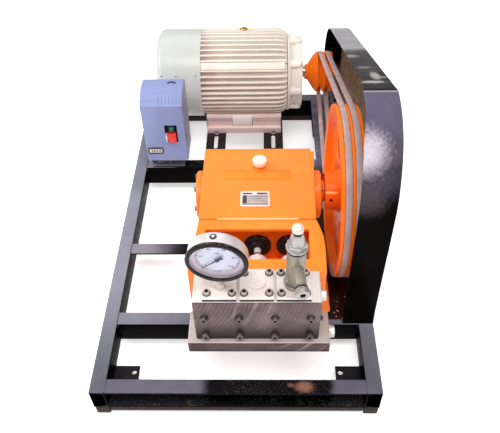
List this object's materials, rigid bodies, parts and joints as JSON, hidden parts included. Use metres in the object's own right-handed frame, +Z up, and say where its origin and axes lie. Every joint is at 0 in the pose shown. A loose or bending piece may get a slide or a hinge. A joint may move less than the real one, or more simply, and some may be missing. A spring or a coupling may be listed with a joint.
{
  "type": "hydrostatic test pump",
  "caption": "Belt-driven plunger pressure test pump on a steel skid, with motor, push-button starter, pressure gauge, relief valve and belt guard.",
  "frame": {"origin": "centre of the footprint on the floor", "axes": "+Z up, -Y towards the fluid end at the front, +X towards the belt side"},
  "size_m": [0.75, 1.3845, 0.7521],
  "materials": {
    "skid_enamel": "glossy black enamel, dusty, worn in spots",
    "foot_rubber": "black rubber and dark packing",
    "motor_paint": "cream grey machine enamel",
    "cowl_paint": "smooth grey green enamel on sheet",
    "shaft_steel": "turned steel",
    "crankcase_paint": "orange enamel on casting",
    "pulley_paint": "deep orange enamel on cast iron",
    "block_steel": "milled stainless steel, darker on the front",
    "bright_steel": "polished steel",
    "seal_rubber": "black seal",
    "gauge_steel": "satin steel case",
    "gauge_black": "black ring and hand",
    "gauge_white": "white dial with plain numbers",
    "gauge_glass": "clear glass",
    "belt_rubber": "worn grey fabric belt",
    "guard_enamel": "glossy black enamel on sheet",
    "starter_paint": "blue grey enamel",
    "button_green": "green key",
    "button_red": "red key",
    "gland_nylon": "black nylon",
    "cap_cream": "cream moulded cap"
  },
  "bodies": {
    "skid": {"left_rail": "skid_enamel", "right_rail": "skid_enamel", "front_beam": "skid_enamel", "rear_beam": "skid_enamel", "front_cross_member": "skid_enamel", "rear_cross_member": "skid_enamel", "middle_cross_member": "skid_enamel", "corner_gussets": "skid_enamel", "foot_pads": "foot_rubber", "packing_strips": "foot_rubber", "pump_bearers": "skid_enamel", "motor_slide_rails": "skid_enamel", "motor_frame": "motor_paint", "motor_fan_cowl": "cowl_paint", "motor_end_shield": "motor_paint", "motor_feet": "motor_paint", "motor_terminal_box": "motor_paint", "crankcase": "crankcase_paint", "crosshead_cradle": "crankcase_paint", "bearing_covers": "crankcase_paint", "oil_filler_cap": "cap_cream", "plunger_seals": "seal_rubber", "fluid_block": "block_steel", "suction_manifold": "block_steel", "valve_covers": "block_steel", "port_plugs": "block_steel", "gauge_case": "gauge_steel", "gauge_bezel": "gauge_black", "gauge_glass": "gauge_glass", "gauge_dial": "gauge_white", "gauge_stem": "block_steel", "relief_valve_body": "block_steel", "relief_valve_bonnet": "bright_steel", "relief_outlet": "block_steel", "inner_belt": "belt_rubber", "outer_belt": "belt_rubber", "guard_band": "guard_enamel", "guard_side_panel": "guard_enamel", "guard_floor_sheet": "guard_enamel", "starter_enclosure": "starter_paint", "starter_bracket": "skid_enamel", "cable_glands": "gland_nylon"},
    "motor_drive": {"motor_shaft": "shaft_steel", "motor_pulley": "pulley_paint"},
    "pump_drive": {"pump_shaft": "shaft_steel", "pump_pulley_hub": "pulley_paint", "pump_pulley_web": "pulley_paint", "pump_pulley_rim": "pulley_paint"},
    "gauge_hand": {"gauge_pointer": "gauge_black"},
    "start_key": {"start_button": "button_green"},
    "stop_key": {"stop_button": "button_red"},
    "plunger_one": {"plunger_left": "bright_steel"},
    "plunger_two": {"plunger_middle": "bright_steel"},
    "plunger_three": {"plunger_right": "bright_steel"}
  },
  "joints": [
    {"name": "pump_spin", "type": "hinge", "parent": "skid", "child": "pump_drive", "pos_m": [0.292, -0.2145, 0.364], "axis": [1, 0, 0], "continuous": true},
    {"name": "motor_spin", "type": "hinge", "parent": "skid", "child": "motor_drive", "pos_m": [0.292, 0.4985, 0.282], "axis": [1, 0, 0], "continuous": true},
    {"name": "gauge_hand_turn", "type": "hinge", "parent": "skid", "child": "gauge_hand", "pos_m": [-0.0244, -0.6325, 0.555], "axis": [0.0782, 0.9941, 0.075], "range_deg": [0, 265]},
    {"name": "start_press", "type": "slide", "parent": "skid", "child": "start_key", "axis": [0, 1, 0], "range_m": [0, 0.003], "stiffness_N_per_m": 300},
    {"name": "stop_press", "type": "slide", "parent": "skid", "child": "stop_key", "axis": [0, 1, 0], "range_m": [0, 0.004], "stiffness_N_per_m": 300},
    {"name": "plunger_left_stroke", "type": "slide", "parent": "skid", "child": "plunger_one", "axis": [0, 1, 0], "range_m": [-0.015, 0.015]},
    {"name": "plunger_middle_stroke", "type": "slide", "parent": "skid", "child": "plunger_two", "axis": [0, 1, 0], "range_m": [-0.015, 0.015]},
    {"name": "plunger_right_stroke", "type": "slide", "parent": "skid", "child": "plunger_three", "axis": [0, 1, 0], "range_m": [-0.015, 0.015]}
  ],
  "couplings": [
    {"joint": "motor_spin", "follows": "pump_spin", "ratio": 3.338}
  ]
}
